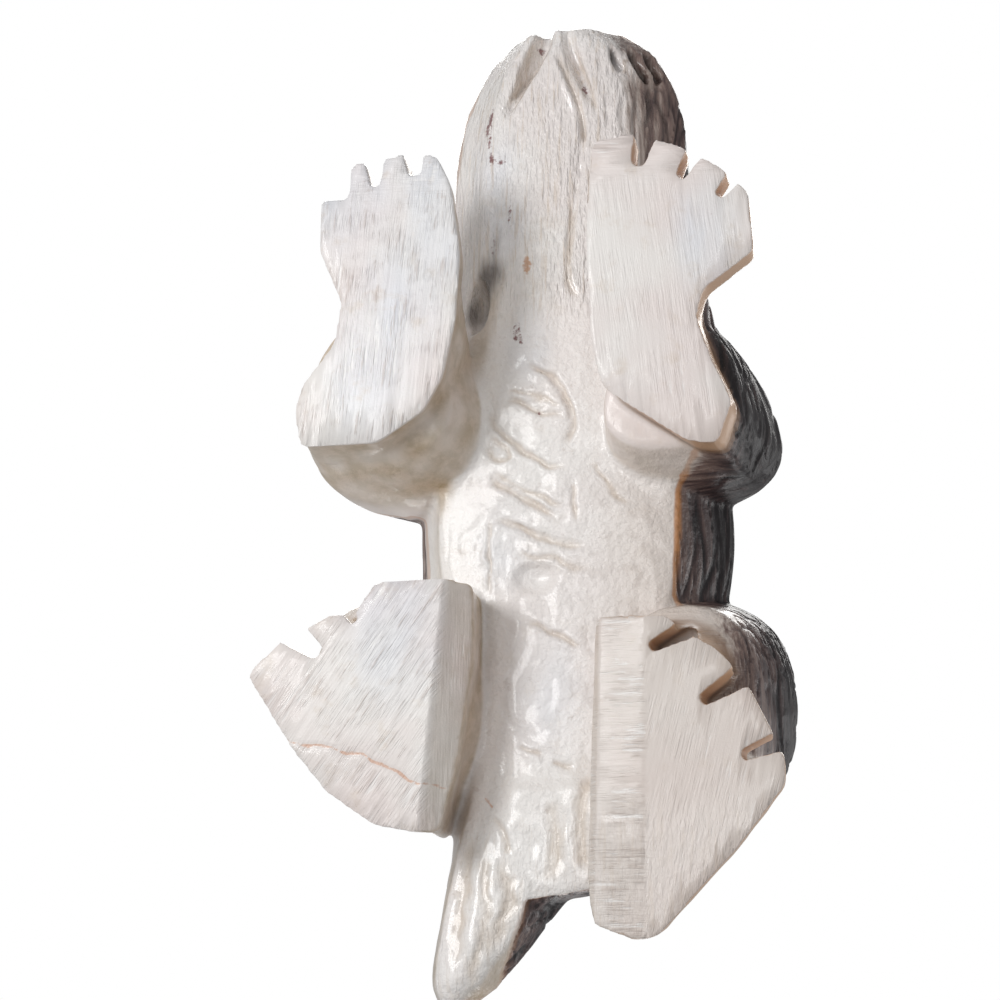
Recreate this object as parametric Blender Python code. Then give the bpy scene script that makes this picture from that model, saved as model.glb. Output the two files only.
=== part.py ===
"""Reptile fetish carving: a four-legged reptile cut from one piece of antler-like stock.

Lengths are millimetres here and metres in the finished object. The animal stands on its four
ground soles at z = 0 with its head towards -Y, so its own left side is at +X.
"""

import math

import bmesh
import bpy
from mathutils import Vector

MM = 0.001

# Heights above the ground that the limbs and the body share
BELLY_HEIGHT = 7.0
BACK_HEIGHT = 19.8
SIDE_HEIGHT = 13.2
LIMB_HEIGHT = BELLY_HEIGHT + 3.0

# Feet
TOE_THICKNESS = 2.2
SOLE_CORNER = 0.5
PLATE_TAPER = 0.05
LIMB_BASE = 0.4

# Body loft
RING_SPACING = 1.7
UNDERSIDE_STEPS = 8
SIDE_STEPS = 3
BACK_STEPS = 12
BELLY_CROWN = 0.7

# Carved lines
OVERCUT = 0.6
SLIT_WIDTH = 0.45
GROOVE_END = 0.35
NOTCH_TOP = TOE_THICKNESS + 1.6

# The body from muzzle to tail tip. Each row: y, centre x, half width of the flat underside,
# greatest half width, then how far the underside, the widest line and the back stand above
# the belly, the side and the back of the trunk.
STATIONS = (
    (-43.7, 0.4, 2.8, 4.8, 1.9, -1.4, -4.9),
    (-43.1, 0.5, 3.3, 5.8, 1.6, -1.4, -4.1),
    (-42.0, 0.7, 3.9, 6.9, 1.4, -1.2, -3.3),
    (-40.3, 0.7, 4.7, 8.0, 1.1, -1.0, -2.5),
    (-38.0, 0.6, 5.3, 9.1, 0.9, -0.8, -1.7),
    (-34.5, 0.5, 6.0, 10.0, 0.8, -0.6, -1.1),
    (-30.0, 0.4, 6.2, 10.2, 0.7, -0.6, -0.9),
    (-25.5, 0.1, 6.0, 9.9, 0.6, -0.6, -1.1),
    (-21.5, -0.1, 6.0, 9.8, 0.5, -0.4, -1.0),
    (-16.0, 0.2, 7.3, 10.9, 0.2, 0.0, -0.2),
    (-9.0, 0.3, 9.2, 12.6, 0.0, 0.2, 0.2),
    (0.0, 0.6, 9.9, 13.3, 0.0, 0.2, -0.4),
    (8.0, 0.3, 8.6, 12.4, 0.0, 0.0, 0.0),
    (15.0, 0.2, 6.6, 10.8, -0.2, -0.8, -0.6),
    (20.5, -0.7, 5.6, 8.6, -0.5, -2.0, -2.6),
    (25.0, -2.5, 4.8, 6.4, -1.0, -3.2, -5.0),
    (29.0, -4.3, 3.7, 5.0, -1.6, -4.2, -7.2),
    (33.0, -6.0, 2.7, 3.8, -2.0, -4.8, -9.0),
    (35.6, -7.1, 1.9, 2.7, -2.0, -5.4, -10.4),
    (37.2, -7.8, 0.8, 1.3, -1.2, -5.8, -11.4),
)

# Each sole's outline on the ground, toes first
RIGHT_FORE_SOLE = (
    (-17.2, -27.6),
    (-14.9, -27.4),
    (-14.7, -30.3),
    (-9.5, -30.9),
    (-7.4, -30.5),
    (-6.2, -28.0),
    (-5.4, -22.0),
    (-5.8, -16.5),
    (-6.8, -12.0),
    (-8.4, -9.3),
    (-12.3, -6.9),
    (-18.7, -7.0),
    (-19.3, -10.0),
    (-18.6, -12.2),
    (-16.0, -15.3),
    (-15.4, -18.8),
    (-17.4, -23.4),
)
LEFT_FORE_SOLE = (
    (5.5, -30.5),
    (8.9, -30.9),
    (12.6, -29.5),
    (15.9, -27.5),
    (18.1, -25.3),
    (18.5, -20.4),
    (14.4, -17.6),
    (13.8, -15.4),
    (15.0, -12.0),
    (16.6, -8.5),
    (15.4, -5.1),
    (13.0, -5.5),
    (8.3, -8.7),
    (6.2, -10.3),
    (5.3, -14.0),
    (4.9, -23.0),
)
RIGHT_HIND_SOLE = (
    (-4.3, 4.1),
    (-12.3, 4.3),
    (-14.1, 6.9),
    (-15.7, 6.6),
    (-20.2, 8.7),
    (-22.9, 11.2),
    (-19.1, 17.2),
    (-16.1, 20.8),
    (-12.2, 23.5),
    (-7.2, 24.5),
    (-5.5, 18.3),
    (-4.2, 10.0),
)
LEFT_HIND_SOLE = (
    (5.2, 7.6),
    (11.2, 8.0),
    (12.2, 9.0),
    (15.4, 11.0),
    (17.6, 13.8),
    (20.3, 19.3),
    (20.3, 21.4),
    (16.7, 25.9),
    (10.3, 32.6),
    (8.6, 32.9),
    (5.1, 31.7),
    (4.1, 28.5),
    (4.6, 16.0),
)

# Notches between toes: x and y of the floor, heading of the mouth in degrees from +X, depth,
# width at the floor and width at the mouth
TOE_NOTCHES = (
    (-12.6, -28.3, -92.0, 2.9, 0.7, 1.9),
    (-9.3, -29.0, -92.0, 2.4, 1.0, 2.0),
    (9.2, -28.2, -75.0, 3.2, 1.0, 2.0),
    (12.6, -26.9, -57.0, 3.2, 0.7, 1.7),
    (15.7, -25.1, -48.0, 3.0, 0.7, 1.6),
    (-16.9, 9.8, -141.0, 3.4, 1.1, 2.4),
    (-14.0, 7.4, -115.0, 1.6, 0.6, 1.4),
    (9.9, 10.5, -24.0, 3.4, 0.8, 1.6),
    (13.9, 14.8, -30.0, 4.0, 0.9, 1.9),
    (17.0, 19.1, -19.0, 4.2, 0.8, 1.7),
)

# The part of each limb that rises from its sole with near upright walls
RIGHT_FORE_LIMB = (
    (-14.6, -20.2),
    (-15.1, -18.6),
    (-15.8, -15.4),
    (-18.4, -12.1),
    (-19.1, -10.0),
    (-18.5, -7.2),
    (-12.4, -7.1),
    (-8.6, -9.5),
    (-7.0, -12.2),
    (-6.0, -16.6),
    (-5.8, -20.2),
)
LEFT_FORE_LIMB = (
    (5.2, -20.6),
    (13.4, -20.6),
    (13.5, -15.4),
    (14.8, -12.0),
    (16.4, -8.5),
    (15.3, -5.3),
    (13.0, -5.7),
    (8.5, -8.9),
    (6.4, -10.5),
    (5.5, -14.0),
)
RIGHT_HIND_LIMB = (
    (-4.5, 4.4),
    (-12.1, 4.6),
    (-14.0, 8.0),
    (-16.0, 12.0),
    (-15.2, 17.0),
    (-12.6, 21.0),
    (-7.4, 23.9),
    (-5.7, 18.3),
    (-4.4, 10.0),
)
LEFT_HIND_LIMB = (
    (5.5, 7.9),
    (11.0, 8.3),
    (13.6, 11.5),
    (14.6, 15.5),
    (14.2, 20.0),
    (11.8, 25.0),
    (8.4, 28.6),
    (5.0, 28.8),
    (4.9, 16.0),
)

# Each limb's outline, how far its top leans in x and y, and the slope that cuts its free edge:
# a point on the ground, a heading in degrees from +X and a rise for each millimetre
LIMBS = (
    ("right_fore_limb", RIGHT_FORE_LIMB, (-0.8, 1.8), (-10.0, -20.4, 90.0, 1.1)),
    ("left_fore_limb", LEFT_FORE_LIMB, (1.0, 1.3), (9.0, -20.8, 90.0, 1.1)),
    ("right_hind_limb", RIGHT_HIND_LIMB, (-1.8, 0.0), (-16.2, 10.0, 30.0, 0.9)),
    ("left_hind_limb", LEFT_HIND_LIMB, (0.0, -0.4), (10.5, 28.6, -120.0, 0.9)),
)

# Underside of the hips beside the tail, ending in a step behind
HIP_SHELF = (
    (-3.4, 20.0),
    (5.3, 20.0),
    (5.0, 28.2),
    (2.2, 28.7),
    (0.6, 28.8),
    (-0.8, 29.6),
    (-3.4, 29.4),
)
HIP_SHELF_HEIGHT = BELLY_HEIGHT - 1.0

# Arms and haunches as stacks of level ovals: height, centre x, centre y, half width, half length
RIGHT_ARM = (
    (2.8, -13.0, -12.4, 5.8, 5.8),
    (5.4, -13.2, -11.8, 6.8, 6.7),
    (8.4, -12.9, -11.3, 7.4, 7.4),
    (11.4, -11.6, -11.2, 8.2, 7.9),
    (14.2, -9.8, -11.6, 8.2, 8.6),
    (16.8, -8.0, -12.0, 7.0, 7.6),
    (18.6, -6.0, -12.2, 4.6, 5.6),
)
LEFT_ARM = (
    (3.6, 10.9, -11.4, 5.2, 5.4),
    (7.6, 11.0, -10.7, 5.9, 6.6),
    (10.0, 10.6, -10.1, 6.9, 6.8),
    (12.4, 9.9, -9.8, 7.8, 6.8),
    (15.0, 8.8, -10.2, 7.8, 7.2),
    (17.2, 7.4, -10.8, 6.5, 6.8),
    (18.8, 5.4, -11.2, 4.4, 5.2),
)
RIGHT_HAUNCH = (
    (1.4, -11.6, 12.8, 4.6, 6.2),
    (5.0, -12.6, 12.8, 6.6, 8.0),
    (7.6, -12.4, 12.8, 7.0, 8.8),
    (10.8, -10.6, 12.8, 9.0, 9.4),
    (14.0, -8.8, 12.8, 9.8, 9.6),
    (16.8, -7.2, 12.8, 8.8, 8.8),
    (18.9, -5.2, 12.6, 6.0, 6.6),
)
LEFT_HAUNCH = (
    (1.4, 10.8, 16.6, 4.4, 7.2),
    (5.0, 11.5, 15.6, 6.0, 9.2),
    (7.6, 11.6, 15.3, 6.5, 9.2),
    (10.4, 9.8, 14.5, 9.1, 9.3),
    (13.4, 8.7, 13.7, 10.2, 9.3),
    (16.6, 7.4, 13.2, 8.9, 8.6),
    (18.7, 5.6, 12.9, 6.1, 6.6),
)
OVAL_STEPS = 28
OVAL_SQUARENESS = 2.5
ELBOW_SWELL = 0.27
HEEL_SWELL = 0.16

# Sloping facets along the inner edges of the hind soles: ridge from start to end on the ground,
# how far the facet runs towards the middle and how far it climbs
SOLE_FACETS = (
    ((-6.5, 2.6), (-8.9, 26.0), 2.7, 3.0),
    ((9.5, 6.0), (9.0, 34.0), -5.0, 0.8),
    ((6.3, 6.0), (5.7, 34.0), -2.0, 2.6),
)

# Grooves on the underside, each a short path with the width and depth of its middle
JAW_GROOVES = (
    (((0.4, -48.6), (-1.2, -42.4), (-3.9, -36.4)), 2.3, 2.6),
    (((0.4, -45.6), (1.9, -40.4), (3.4, -36.6)), 1.9, 1.6),
    (((3.3, -37.4), (2.5, -32.0), (1.9, -27.6), (1.5, -22.4)), 0.9, 0.6),
)
BELLY_GOUGES = (
    (((-2.2, -14.8), (0.4, -13.1), (1.8, -10.6), (1.5, -7.4)), 0.9, 0.5),
    (((-3.8, -11.8), (-1.5, -11.2), (1.2, -10.1)), 0.9, 0.5),
    (((-4.7, -10.8), (-4.0, -8.9), (-1.7, -6.8), (1.4, -5.8)), 0.9, 0.5),
    (((-5.3, -8.2), (-4.6, -7.2), (-3.4, -7.0)), 0.8, 0.4),
    (((-5.1, -5.4), (-2.7, -3.8), (0.9, -1.7)), 1.1, 0.6),
    (((-4.9, -2.1), (-1.8, -0.6), (3.0, 0.8)), 1.1, 0.6),
    (((-2.0, 6.4), (0.2, 7.6), (2.4, 8.8)), 0.8, 0.5),
    (((-3.6, 14.4), (-2.0, 15.9), (-0.6, 16.4)), 0.8, 0.5),
    (((-0.2, 17.4), (1.0, 18.3), (2.4, 18.7)), 0.8, 0.6),
)
BELLY_SLIT = (((-4.9, -0.9), (-4.9, 2.0), (-4.9, 5.0)), SLIT_WIDTH, 1.0)

# Hollows, face cuts and eyes as ovals: centre, then half sizes along X, Y and Z
ARMPIT_HOLLOW = ((-6.6, -20.2, BELLY_HEIGHT + 1.4), (1.3, 2.6, 2.4))
BELLY_HOLLOW = ((-1.2, 3.2, BELLY_HEIGHT - 0.4), (2.3, 1.5, 1.2))
FACE_CUTS = (
    ((5.5, -40.3, SIDE_HEIGHT - 4.5), (0.6, 1.5, 0.6)),
    ((7.2, -40.2, SIDE_HEIGHT - 3.1), (0.6, 1.6, 0.7)),
    ((8.3, -39.7, SIDE_HEIGHT - 2.0), (0.6, 1.5, 0.6)),
)
EYE_MOUND = ((5.6, -35.4, BACK_HEIGHT - 3.2), (1.8, 2.2, 1.8))
OVAL_RINGS = 8


def catmull(a, b, c, d, t):
    """Smooth curve between b and c."""
    return 0.5 * (
        2.0 * b
        + (c - a) * t
        + (2.0 * a - 5.0 * b + 4.0 * c - d) * t * t
        + (3.0 * b - a - 3.0 * c + d) * t * t * t
    )


def station_at(y):
    """The body's row of sizes at y, read smoothly from its stations."""
    last = len(STATIONS) - 1
    span = 0
    while span < last - 1 and STATIONS[span + 1][0] < y:
        span += 1
    rows = [STATIONS[min(max(span + step, 0), last)] for step in (-1, 0, 1, 2)]
    t = (y - rows[1][0]) / (rows[2][0] - rows[1][0])
    return [catmull(*(row[column] for row in rows), t) for column in range(1, 7)]


def body_heights(y):
    """Height of the underside, the widest line and the back at y."""
    low, side, top = station_at(y)[3:]
    return BELLY_HEIGHT + low, SIDE_HEIGHT + side, BACK_HEIGHT + top


def underside_height(x, y):
    """Height of the body's underside at a point below it."""
    middle, flat = station_at(y)[:2]
    across = (x - middle) / flat
    return body_heights(y)[0] + BELLY_CROWN * across * across


def body_ring(y):
    """One cross-section of the body: flat underside, leaning sides and a round back."""
    middle, flat, wide = station_at(y)[:3]
    low, side, top = body_heights(y)
    edge = low + BELLY_CROWN
    ring = []
    for step in range(UNDERSIDE_STEPS):
        x = middle - flat + 2.0 * flat * step / UNDERSIDE_STEPS
        ring.append((x, y, underside_height(x, y)))
    for step in range(SIDE_STEPS):
        t = step / SIDE_STEPS
        ring.append((middle + flat + (wide - flat) * t, y, edge + (side - edge) * t))
    for step in range(BACK_STEPS):
        turn = math.pi * step / BACK_STEPS
        ring.append((middle + wide * math.cos(turn), y, side + (top - side) * math.sin(turn)))
    for step in range(SIDE_STEPS):
        t = 1.0 - step / SIDE_STEPS
        ring.append((middle - flat - (wide - flat) * t, y, edge + (side - edge) * t))
    return ring


def loft(bm, rings):
    """A closed skin over rings with equal numbers of points, capped at both ends."""
    loops = [[bm.verts.new(point) for point in ring] for ring in rings]
    count = len(loops[0])
    for lower, upper in zip(loops, loops[1:]):
        for i in range(count):
            j = (i + 1) % count
            bm.faces.new((lower[i], lower[j], upper[j], upper[i]))
    for loop in (loops[0], loops[-1]):
        centre = sum((vert.co for vert in loop), Vector()) / count
        hub = bm.verts.new(centre)
        for i in range(count):
            bm.faces.new((loop[i], loop[(i + 1) % count], hub))
    bmesh.ops.recalc_face_normals(bm, faces=bm.faces)


def new_object(name, bm):
    """An object in metres from a shape in millimetres."""
    bmesh.ops.scale(bm, vec=(MM, MM, MM), verts=bm.verts)
    mesh = bpy.data.meshes.new(name)
    bm.to_mesh(mesh)
    bm.free()
    thing = bpy.data.objects.new(name, mesh)
    bpy.context.scene.collection.objects.link(thing)
    return thing


def as_tool(thing):
    """Marks a shape that is only joined to or cut from the carving."""
    thing.hide_render = True
    thing.display_type = "WIRE"
    return thing


def make_body():
    """Head, trunk and tail as one loft."""
    first = STATIONS[0][0]
    last = STATIONS[-1][0]
    count = round((last - first) / RING_SPACING)
    bm = bmesh.new()
    loft(bm, [body_ring(first + (last - first) * i / count) for i in range(count + 1)])
    return new_object("reptile_carving", bm)


def slice_off(bm, point, normal):
    """Removes what lies beyond a plane and closes the cut."""
    cut = bmesh.ops.bisect_plane(
        bm,
        geom=bm.verts[:] + bm.edges[:] + bm.faces[:],
        plane_co=point,
        plane_no=normal,
        clear_outer=True,
    )
    rim = [part for part in cut["geom_cut"] if isinstance(part, bmesh.types.BMEdge)]
    bmesh.ops.holes_fill(bm, edges=rim)


def extrude_outline(outline, low, high, taper=0.0, shift=(0.0, 0.0)):
    """A block on an outline between two heights, its top drawn in by taper and moved by shift."""
    bm = bmesh.new()
    base = bm.faces.new([bm.verts.new((x, y, low)) for x, y in outline])
    bmesh.ops.bevel(bm, geom=base.verts[:], offset=SOLE_CORNER, segments=2, profile=0.5, affect="VERTICES")
    centre = sum((vert.co for vert in bm.verts), Vector()) / len(bm.verts)
    raised = bmesh.ops.extrude_face_region(bm, geom=bm.faces[:])
    for part in raised["geom"]:
        if isinstance(part, bmesh.types.BMVert):
            part.co += (centre - part.co) * taper + Vector((*shift, 0.0))
            part.co.z = high
    bmesh.ops.recalc_face_normals(bm, faces=bm.faces)
    return bm


def make_foot(name, outline):
    """A thin plate on a sole's outline, its edges leaning in above the ground."""
    bm = extrude_outline(outline, 0.0, TOE_THICKNESS, PLATE_TAPER)
    return as_tool(new_object(name, bm))


def make_limb(name, outline, lean, slope):
    """An upright block on a foot, leaning a little and cut down towards its free edge.

    The cut meets the top of the foot over the slope's point and climbs along its heading.
    """
    bm = extrude_outline(outline, LIMB_BASE, LIMB_HEIGHT, 0.0, lean)
    x, y, heading, rise = slope
    turn = math.radians(heading)
    normal = Vector((-rise * math.cos(turn), -rise * math.sin(turn), 1.0))
    slice_off(bm, Vector((x, y, TOE_THICKNESS)), normal)
    return as_tool(new_object(name, bm))


def make_hip_shelf():
    """The flat underside of the hips between the tail and the left hind foot."""
    bm = extrude_outline(HIP_SHELF, HIP_SHELF_HEIGHT, LIMB_HEIGHT, PLATE_TAPER)
    return as_tool(new_object("hip_shelf", bm))


def oval_point(turn, half_x, half_y, swell):
    """A point of a slightly squared oval that swells towards +Y."""
    power = 2.0 / OVAL_SQUARENESS
    across = math.copysign(abs(math.cos(turn)) ** power, math.cos(turn))
    along = math.copysign(abs(math.sin(turn)) ** power, math.sin(turn))
    return half_x * across * (1.0 + swell * along), half_y * along


def make_ovals(name, ovals, swell=0.0):
    """A bulging limb from a stack of level ovals."""
    turns = [2.0 * math.pi * i / OVAL_STEPS for i in range(OVAL_STEPS)]
    rings = []
    for z, middle_x, middle_y, half_x, half_y in ovals:
        corners = [oval_point(turn, half_x, half_y, swell) for turn in turns]
        rings.append([(middle_x + x, middle_y + y, z) for x, y in corners])
    bm = bmesh.new()
    loft(bm, rings)
    return as_tool(new_object(name, bm))


def add_notch(bm, notch):
    """A tapered slot between two toes, through the whole foot."""
    x, y, heading, depth, floor, mouth = notch
    turn = math.radians(heading)
    along = Vector((math.cos(turn), math.sin(turn), 0.0))
    across = Vector((-along.y, along.x, 0.0))
    start = Vector((x, y, -OVERCUT))
    corners = [
        start - across * floor / 2.0,
        start + across * floor / 2.0,
        start + along * depth + across * mouth / 2.0,
        start + along * depth - across * mouth / 2.0,
    ]
    top = Vector((0.0, 0.0, NOTCH_TOP + OVERCUT))
    lower = [bm.verts.new(corner) for corner in corners]
    upper = [bm.verts.new(corner + top) for corner in corners]
    bm.faces.new(lower)
    bm.faces.new(upper)
    for i in range(len(corners)):
        j = (i + 1) % len(corners)
        bm.faces.new((lower[i], lower[j], upper[j], upper[i]))


def add_facet(bm, start, end, run, rise):
    """A long wedge whose slanting face leaves a facet beside a sole."""
    slant = Vector((run, 0.0, rise))
    loops = []
    for x, y in (start, end):
        ridge = Vector((x, y, 0.0))
        low = ridge - slant * OVERCUT
        high = ridge + slant * (1.0 + OVERCUT)
        loops.append([bm.verts.new(corner) for corner in (low, high, (high.x, y, low.z))])
    bm.faces.new(loops[0])
    bm.faces.new(loops[1])
    for i in range(3):
        j = (i + 1) % 3
        bm.faces.new((loops[0][i], loops[0][j], loops[1][j], loops[1][i]))


def add_groove(bm, path, width, depth):
    """A V-shaped cut into the underside along a path, shallow at its ends."""
    points = [Vector((x, y, 0.0)) for x, y in path]
    last = len(points) - 1
    rows = []
    for i, point in enumerate(points):
        ahead = points[min(i + 1, last)] - points[max(i - 1, 0)]
        across = Vector((-ahead.y, ahead.x, 0.0)).normalized()
        fullness = GROOVE_END + (1.0 - GROOVE_END) * math.sin(math.pi * i / last)
        half = across * width * fullness / 2.0
        surface = underside_height(point.x, max(point.y, STATIONS[0][0]))
        low = Vector((0.0, 0.0, surface - OVERCUT))
        high = Vector((0.0, 0.0, surface + depth * fullness))
        flare = 1.0 + OVERCUT / (depth * fullness)
        rows.append((point + half * flare + low, point - half * flare + low, point + high))
    loops = [[bm.verts.new(corner) for corner in row] for row in rows]
    bm.faces.new(loops[0])
    bm.faces.new(loops[-1])
    for near, far in zip(loops, loops[1:]):
        for i in range(3):
            j = (i + 1) % 3
            bm.faces.new((near[i], near[j], far[j], far[i]))


def add_oval(bm, centre, halves):
    """A closed oval ball."""
    ball = bmesh.ops.create_uvsphere(bm, u_segments=2 * OVAL_RINGS, v_segments=OVAL_RINGS, radius=1.0)
    bmesh.ops.scale(bm, vec=halves, verts=ball["verts"])
    bmesh.ops.translate(bm, vec=centre, verts=ball["verts"])


def make_shape(name, shapes):
    """One tool from functions that each add a closed shape."""
    bm = bmesh.new()
    for add, values in shapes:
        add(bm, *values)
    bmesh.ops.recalc_face_normals(bm, faces=bm.faces)
    return as_tool(new_object(name, bm))


def combine(target, other, operation):
    """Joins another shape to the carving or cuts it away."""
    step = target.modifiers.new(other.name, "BOOLEAN")
    step.operation = operation
    step.solver = "EXACT"
    step.object = other


def mirrored(centre):
    """A point on the other side of the head."""
    middle = station_at(centre[1])[0]
    return (2.0 * middle - centre[0], centre[1], centre[2])


def make_material():
    """Polished antler cream."""
    cream = bpy.data.materials.new("antler")
    cream.use_nodes = True
    shader = cream.node_tree.nodes["Principled BSDF"]
    shader.inputs["Base Color"].default_value = (0.77, 0.68, 0.58, 1.0)
    shader.inputs["Roughness"].default_value = 0.38
    shader.inputs["Metallic"].default_value = 0.0
    return cream


def centred(pieces):
    """Moves the carving so that its box stands centred on the origin."""
    corners = [vert.co for piece in pieces for vert in piece.data.vertices]
    middle = [(min(axis) + max(axis)) / 2.0 for axis in zip(*((co.x, co.y) for co in corners))]
    stand = bpy.data.objects.new("stand", None)
    bpy.context.scene.collection.objects.link(stand)
    stand.location = (-middle[0], -middle[1], 0.0)
    return stand


def make_joined():
    """Everything that grows out of the body: feet, limbs, hips, muscles and eyes."""
    eye, eye_size = EYE_MOUND
    return [
        make_foot("right_fore_foot", RIGHT_FORE_SOLE),
        make_foot("left_fore_foot", LEFT_FORE_SOLE),
        make_foot("right_hind_foot", RIGHT_HIND_SOLE),
        make_foot("left_hind_foot", LEFT_HIND_SOLE),
        *(make_limb(*limb) for limb in LIMBS),
        make_hip_shelf(),
        make_ovals("right_arm", RIGHT_ARM, HEEL_SWELL),
        make_ovals("left_arm", LEFT_ARM, ELBOW_SWELL),
        make_ovals("right_haunch", RIGHT_HAUNCH),
        make_ovals("left_haunch", LEFT_HAUNCH),
        make_shape("left_eye", [(add_oval, (eye, eye_size))]),
        make_shape("right_eye", [(add_oval, (mirrored(eye), eye_size))]),
    ]


def make_cutters():
    """The toe notches, and one cutter for each facet, groove and hollow."""
    cuts = [(add_facet, facet) for facet in SOLE_FACETS]
    cuts += [(add_groove, groove) for groove in JAW_GROOVES + BELLY_GOUGES + (BELLY_SLIT,)]
    cuts += [(add_oval, hollow) for hollow in (ARMPIT_HOLLOW, BELLY_HOLLOW) + FACE_CUTS]
    notches = make_shape("toe_notches", [(add_notch, (notch,)) for notch in TOE_NOTCHES])
    return [notches] + [make_shape("carved_cut_%02d" % i, [cut]) for i, cut in enumerate(cuts, 1)]


def build():
    """The whole carving as one solid."""
    carving = make_body()
    carving.data.materials.append(make_material())
    joined = make_joined()
    cutters = make_cutters()
    for piece in joined:
        combine(carving, piece, "UNION")
    for cutter in cutters:
        combine(carving, cutter, "DIFFERENCE")
    stand = centred([carving] + joined)
    for piece in [carving] + joined + cutters:
        piece.parent = stand


for old in list(bpy.data.objects):
    bpy.data.objects.remove(old, do_unlink=True)
build()
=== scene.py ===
"""Looks of the reptile fetish carving: cream antler core, caramel edges, dark ridged rind, file marks.

Positions in the tables are millimetres in the carving's own drawing: soles at z = 0, head towards
-Y, the animal's left side at +X. DRAWING_ZERO says where that drawing's zero lies in the frame.
"""

import math

import bmesh
import bpy
import numpy as np
from mathutils import Matrix, Vector, noise


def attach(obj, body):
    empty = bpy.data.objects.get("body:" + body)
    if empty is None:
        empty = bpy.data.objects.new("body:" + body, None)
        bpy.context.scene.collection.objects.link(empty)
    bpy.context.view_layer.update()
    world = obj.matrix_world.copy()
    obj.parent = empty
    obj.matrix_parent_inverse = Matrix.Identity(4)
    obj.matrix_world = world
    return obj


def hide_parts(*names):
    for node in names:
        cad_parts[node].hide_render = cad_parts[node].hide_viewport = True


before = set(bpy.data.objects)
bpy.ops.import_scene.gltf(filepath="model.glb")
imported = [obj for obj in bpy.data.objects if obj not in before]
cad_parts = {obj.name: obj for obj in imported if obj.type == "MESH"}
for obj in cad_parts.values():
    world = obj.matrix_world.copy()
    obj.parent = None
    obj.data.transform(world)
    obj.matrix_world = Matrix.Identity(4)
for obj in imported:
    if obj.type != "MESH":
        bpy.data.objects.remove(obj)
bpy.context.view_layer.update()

MM = 0.001
DRAWING_ZERO = (1.207 * MM, 3.25 * MM, 0.0)

# Camera: it looks up at the soles, from a little behind and from the animal's left
VIEW_TAN_X = 0.28
VIEW_TAN_Y = 0.22
VIEW_DISTANCE = 250 * MM
PIXEL = 0.078 * MM
AIM_PIXEL = (525.0, 520.0)
PICTURE = 1000
SENSOR = 36.0

# Skin of the carving: mesh size, and rounds of smoothing for each part of it
VOXEL = 0.21 * MM
SKIN_TRIANGLES = 190000
SOFTENING_ROUNDS = 14
BELLY_ROUNDS = 9
FACE_ROUNDS = 7
EYE_ROUNDS = 4
HIP_ROUNDS = 24
OUTLINE_ROUNDS = 2

# Heights below which the feet and the belly's carving stay crisp
SOLE_GUARD = 2.4
BELLY_GUARD = 9.0

# Heights and depths of the fine relief, in millimetres
STROKE_RELIEF = 0.018
STRAND_RELIEF = 0.045
RIB_DEPTH = 0.20
CHISEL_DEPTH = 0.12
LUMP_HEIGHT = 0.16
LOWER_ON_TAIL = 0.06
FURROW_DEPTH = 0.10
LINE_LIPS = 0.45
FACE_LIPS = 0.3
LINE_WAVER = 0.32
BUMP_DEPTH = 0.12 * MM

# Colours as they look on screen, from 0 to 255
CREAM = (236, 232, 228)
PINK_CREAM = (230, 219, 215)
BLUE_CREAM = (216, 221, 231)
# Darker, warmer beige: partly a real tone of the cream, partly painted shade where the light falls off
# towards the animal's left hind
WARM_CREAM_AND_SHADE = (208, 194, 184)
# Near-white for file scratches, and as painted light on the belly, the throat and the strokes
WHITE_SCRATCH_AND_PAINTED_LIGHT = (250, 248, 246)
# Light brown for blotches and fibres, and partly painted shade on the walls and along the carved lines
TAN_AND_SHADE = (198, 176, 150)
OLIVE_TAN_AND_SHADE = (172, 150, 116)
CARAMEL = (186, 128, 78)
LIGHT_CARAMEL = (206, 158, 114)
CRACK_EDGE = (206, 152, 118)
SPECK = (112, 52, 52)
# Dark brown, painted as shade in the right armpit and towards the chin
ARMPIT_SHADE = (70, 58, 52)
GREY_BEIGE = (188, 172, 162)
GREY_BROWN = (128, 108, 101)
DARK_RIND = (76, 60, 59)
# Nearly black, for the rind and for painted shade in the face's grooves
BLACK_RIND_AND_SHADE = (32, 26, 29)

# Fibres and file strokes in the material, and its gloss
FIBRE_PITCH = 0.38
FIBRE_LENGTH = 5.9
STROKE_LENGTHENING = 0.065
STROKE_DEPTH_SCALE = 100.0
DULLNESS = 0.28
GLOSS = 0.22
GLOSS_ROUGHNESS = 0.10
SPECULAR_LEVEL = 0.45

# Taken off the distance past the rind's border where there is no rind
NO_RIND = 30.0

# Where the rind starts across the animal's left side. Each row: y, then the values of x + z / 2 at
# which the rind begins and is fully dark, and how dark it is where it begins.
RIND_SIDE = (
    (-44.5, 8.2, 22.5, 0.18),
    (-42.5, 8.6, 22.5, 0.18),
    (-41.0, 9.2, 22.0, 0.17),
    (-39.8, 10.6, 21.4, 0.10),
    (-38.6, 9.2, 20.6, 0.03),
    (-34.0, 9.2, 19.4, 0.03),
    (-28.0, 9.4, 18.6, 0.06),
    (-22.0, 13.0, 18.0, 0.25),
    (-12.0, 14.0, 17.8, 0.45),
    (-5.0, 14.4, 19.4, 0.25),
    (-3.4, 14.0, 20.0, 0.45),
    (5.0, 14.0, 20.0, 0.45),
    (7.0, 15.2, 23.4, 0.02),
    (20.0, 15.8, 23.4, 0.03),
    (27.0, 15.0, 20.6, 0.20),
    (29.0, 1.2, 4.4, 0.50),
    (38.0, -1.2, 2.4, 0.50),
)

# Height at which the rind begins and is fully dark on the hidden side and on top. Each row: y, low, high.
RIND_TOP = (
    (-44.0, 11.4, 14.2),
    (-36.0, 12.4, 15.4),
    (-20.0, 12.0, 15.6),
    (0.0, 11.4, 14.8),
    (18.0, 11.2, 15.0),
    (28.0, 9.6, 12.4),
    (38.0, 6.6, 8.6),
)

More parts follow.
